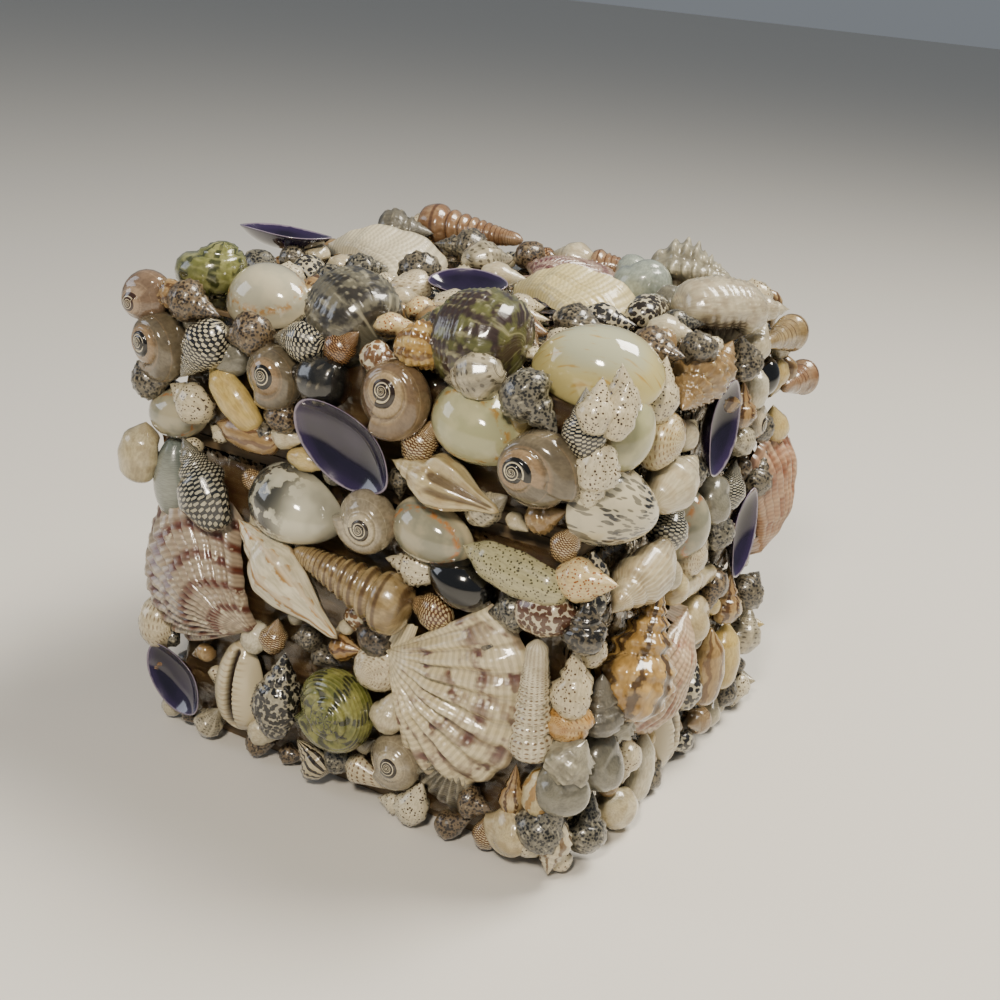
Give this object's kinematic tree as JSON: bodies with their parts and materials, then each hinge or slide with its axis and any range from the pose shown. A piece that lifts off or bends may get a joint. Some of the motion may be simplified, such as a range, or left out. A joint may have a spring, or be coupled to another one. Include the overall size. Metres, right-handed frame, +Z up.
{
  "type": "shell box",
  "caption": "Small lidded wooden keepsake box, hollow and empty, its outside covered with assorted sea shells set in clear glossy glue; the deep lid lifts off.",
  "frame": {"origin": "middle of the wooden box's flat underside", "axes": "+X to the right along the front, +Y to the back, +Z up; the front faces -Y"},
  "size_m": [0.1401, 0.13, 0.125],
  "materials": {
    "wood": "grey-brown weathered board, matt, bare inside",
    "cream_shell": "cream sea shell under clear gloss",
    "white_shell": "white sea shell under clear gloss",
    "grey_shell": "grey sea shell under clear gloss",
    "tan_shell": "tan sea shell under clear gloss",
    "rust_shell": "rust sea shell under clear gloss",
    "violet_shell": "violet sea shell under clear gloss",
    "olive_shell": "olive sea shell under clear gloss",
    "dark_shell": "dark sea shell under clear gloss",
    "gold_shell": "gold sea shell under clear gloss",
    "glued_shells": "clear glossy glue with small mixed shells set in it"
  },
  "bodies": {
    "root": {"box_body": "wood", "lid": "wood", "violet_clam_lid_front": "violet_shell", "moon_snail_dark_eye": "grey_shell", "moon_snail_pale_eye": "tan_shell", "green_cowrie_lid_front": "cream_shell", "moon_snail_left_edge": "grey_shell", "speckled_nassa_lid_front": "dark_shell", "open_whelk": "cream_shell", "golden_nassa": "gold_shell", "dashed_nerite": "white_shell", "yellow_cowrie_corner": "cream_shell", "olive_turban_lid": "olive_shell", "grey_turban_lid": "grey_shell", "grey_cowrie_top_edge": "white_shell", "white_ark_shell": "white_shell", "cream_ark_shell": "cream_shell", "violet_clam_top_front": "violet_shell", "violet_clam_top_left": "violet_shell", "maroon_scallop": "rust_shell", "pale_ribbed_snail": "white_shell", "grey_spiny_shell": "grey_shell", "brown_turret_back_edge": "tan_shell", "violet_clam_lid_right": "violet_shell", "green_cowrie_lid_right": "cream_shell", "white_conch_lid_right": "white_shell", "ribbed_snail_lid_right": "tan_shell", "cream_scallop": "cream_shell", "mottled_cockle": "rust_shell", "white_conch": "white_shell", "brown_turret": "tan_shell", "mottled_white_snail": "white_shell", "checkered_shell": "dark_shell", "moon_snail_body_front": "grey_shell", "grey_cowrie_body_front": "grey_shell", "dotted_olive": "cream_shell", "violet_clam_low_left": "violet_shell", "cowrie_underside": "white_shell", "grey_granular_shell": "dark_shell", "green_turban": "olive_shell", "white_tower": "white_shell", "grey_limpet": "grey_shell", "pink_scallop": "rust_shell", "golden_tulip": "gold_shell", "white_ribbed_snail": "white_shell", "green_cowrie_body_right": "grey_shell", "violet_clam_body_right": "violet_shell", "orange_scallop": "rust_shell", "white_scallop_back": "white_shell", "cockle_left": "rust_shell", "glued_small_shells_lid_front": "glued_shells", "glued_small_shells_lid_right": "glued_shells", "glued_small_shells_lid_back": "glued_shells", "glued_small_shells_lid_left": "glued_shells", "glued_small_shells_lid_top": "glued_shells", "glued_small_shells_body_front": "glued_shells", "glued_small_shells_body_right": "glued_shells", "glued_small_shells_body_back": "glued_shells", "glued_small_shells_body_left": "glued_shells"}
  },
  "joints": []
}
